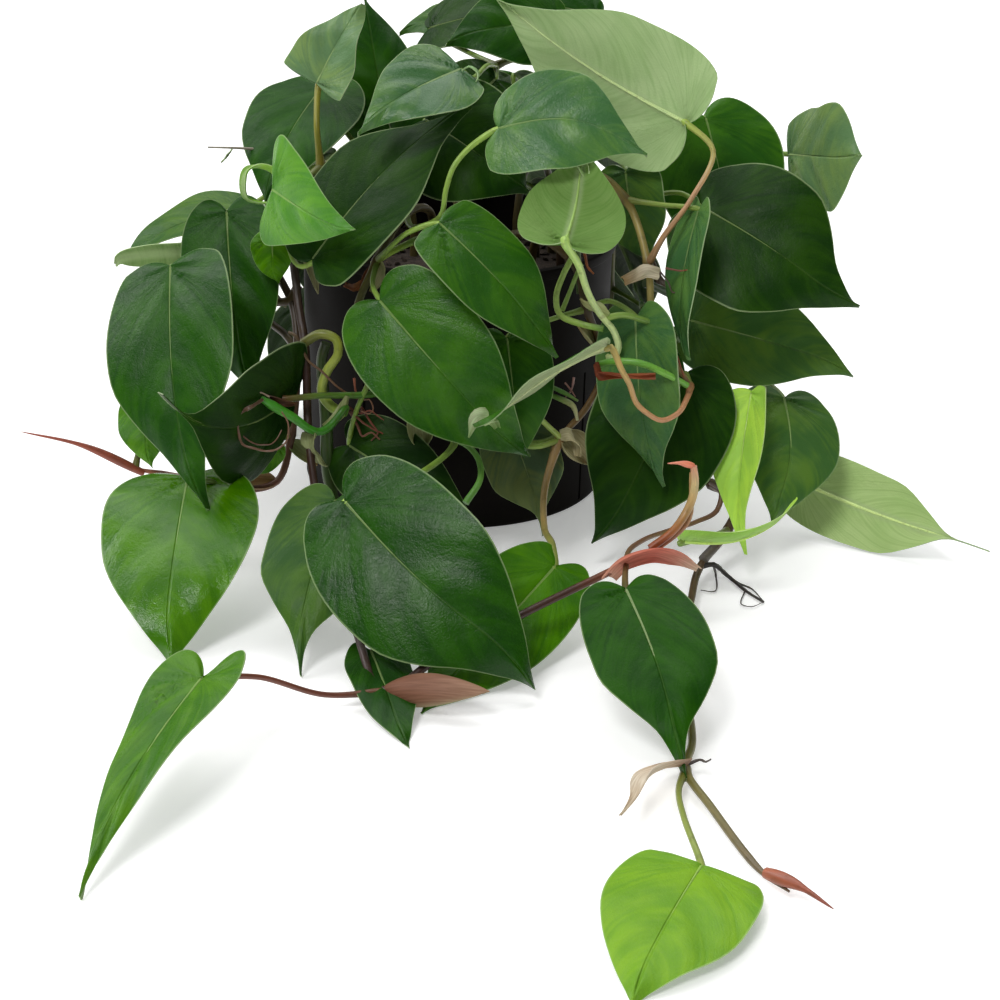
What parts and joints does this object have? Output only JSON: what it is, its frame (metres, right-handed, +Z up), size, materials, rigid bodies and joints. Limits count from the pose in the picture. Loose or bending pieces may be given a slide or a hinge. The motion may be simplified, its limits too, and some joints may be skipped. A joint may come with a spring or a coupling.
{
  "type": "potted heartleaf philodendron",
  "caption": "Potted trailing house plant: a plain round dark plastic pot of soil with heart-leaved vines that hang over the rim and trail along the surface in front.",
  "frame": {"origin": "centre of the pot's base, on the surface the plant stands on", "axes": "+Z up; the plant's front, with its longest trailing vine, faces -Y; +X to the right seen from the front"},
  "size_m": [0.4403, 0.5575, 0.2443],
  "materials": {
    "pot_plastic": "plain near-black brown plastic, satin",
    "soil": "loose dark potting soil, matt",
    "foliage": "living leaf and stem, deep green, waxy sheen, paler underneath"
  },
  "bodies": {
    "root": {"pot": "pot_plastic", "soil": "soil", "front_vine": "foliage", "rim_vine": "foliage", "right_vine": "foliage", "right_trailing_vine": "foliage", "left_trailing_vine": "foliage", "left_vine": "foliage", "top_left_vine": "foliage", "top_vine": "foliage", "top_right_vine": "foliage", "right_side_vine": "foliage", "right_back_vine": "foliage", "back_vine": "foliage", "left_back_vine": "foliage", "left_side_vine": "foliage"}
  },
  "joints": []
}
